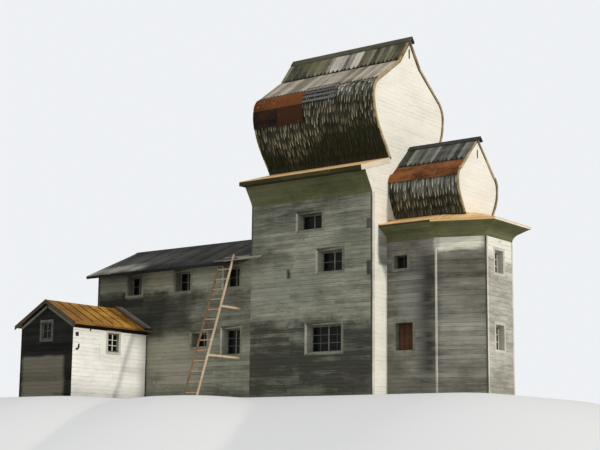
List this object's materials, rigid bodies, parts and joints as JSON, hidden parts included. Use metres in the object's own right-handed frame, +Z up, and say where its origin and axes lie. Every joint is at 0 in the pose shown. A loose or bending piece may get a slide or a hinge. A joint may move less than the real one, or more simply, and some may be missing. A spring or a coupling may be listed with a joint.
{
  "type": "wooden church",
  "caption": "Timber church with a tall tower under a keel-shaped barrel roof, a five-sided apse, a long refectory, a side porch and a ladder to the eave.",
  "frame": {"origin": "on the ground, under the middle of the whole building's box", "axes": "+X east towards the apse, +Y north, +Z up"},
  "size_m": [22.535, 12.33, 16.9069],
  "materials": {
    "wall_boards": "weathered grey horizontal boards",
    "pale_wall_boards": "old cream paint on boards",
    "cove_boards": "sheltered grey-brown boards",
    "shingles": "long pointed weathered shingles",
    "roof_boards": "mossy grey roof boards",
    "new_boards": "new pine boards",
    "ridge_boards": "dark weathered boards",
    "rusty_roof": "rusted ochre sheet",
    "dark_boards": "dark brown boards",
    "window_paint": "worn pale paint",
    "window_glass": "dark old glass",
    "shutter_boards": "red-brown paint",
    "floor_boards": "worn planks",
    "ladder_wood": "weathered poles"
  },
  "bodies": {
    "root": {"tower_south_wall": "wall_boards", "tower_north_wall": "wall_boards", "tower_east_wall": "pale_wall_boards", "tower_west_wall": "pale_wall_boards", "tower_east_gable": "pale_wall_boards", "tower_west_gable": "pale_wall_boards", "tower_flares": "cove_boards", "tower_skirt_roofs": "new_boards", "tower_barrel_roof": "shingles", "tower_crown_boards": "roof_boards", "tower_ridge_board": "ridge_boards", "tower_ceiling": "floor_boards", "apse_south_wall": "wall_boards", "apse_southeast_wall": "wall_boards", "apse_east_wall": "pale_wall_boards", "apse_northeast_wall": "wall_boards", "apse_north_wall": "wall_boards", "apse_flare": "cove_boards", "apse_skirt_roof": "new_boards", "apse_barrel_roof": "shingles", "apse_gable": "pale_wall_boards", "apse_crown_boards": "roof_boards", "apse_ridge_board": "ridge_boards", "refectory_south_wall": "wall_boards", "refectory_south_wall_west_end": "wall_boards", "refectory_north_wall": "wall_boards", "refectory_west_wall": "wall_boards", "refectory_south_roof": "roof_boards", "refectory_north_roof": "roof_boards", "refectory_ridge_board": "ridge_boards", "ground_floor": "floor_boards", "upper_floor": "floor_boards", "porch_south_wall": "dark_boards", "porch_east_wall": "pale_wall_boards", "porch_west_wall": "wall_boards", "porch_door": "dark_boards", "porch_floor": "floor_boards", "porch_metal_roof": "rusty_roof", "porch_rear_roof": "roof_boards", "porch_barge_boards": "window_paint", "main_window_frames": "window_paint", "main_window_glass": "window_glass", "apse_window_frames": "window_paint", "apse_window_glass": "window_glass", "apse_shutters": "shutter_boards", "porch_window_frames": "window_paint", "porch_window_glass": "window_glass", "ladder": "ladder_wood"}
  },
  "joints": []
}
